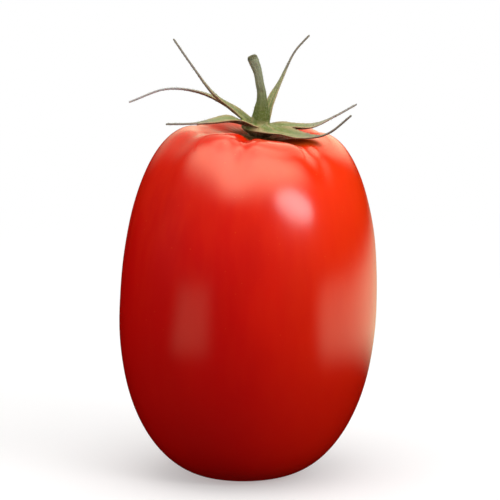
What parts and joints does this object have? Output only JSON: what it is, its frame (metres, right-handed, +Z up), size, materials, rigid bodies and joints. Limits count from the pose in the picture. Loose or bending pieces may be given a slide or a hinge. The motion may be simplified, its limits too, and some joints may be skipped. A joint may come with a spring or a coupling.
{
  "type": "plum tomato",
  "caption": "Ripe plum tomato that stands on its blossom end: an oblong, slightly lobed fruit with a shallow stalk hollow, narrow green calyx leaves and a short stalk stub.",
  "frame": {"origin": "middle of the small flat spot at the blossom end that the tomato stands on", "axes": "+Z up along the fruit towards its stalk, +X to the right of the fruit, -Y towards its front"},
  "size_m": [0.0499, 0.0493, 0.0852],
  "materials": {
    "skin": "gloss",
    "green": "matte"
  },
  "bodies": {
    "root": {"fruit": "skin", "calyx_and_stalk": "green"}
  },
  "joints": []
}
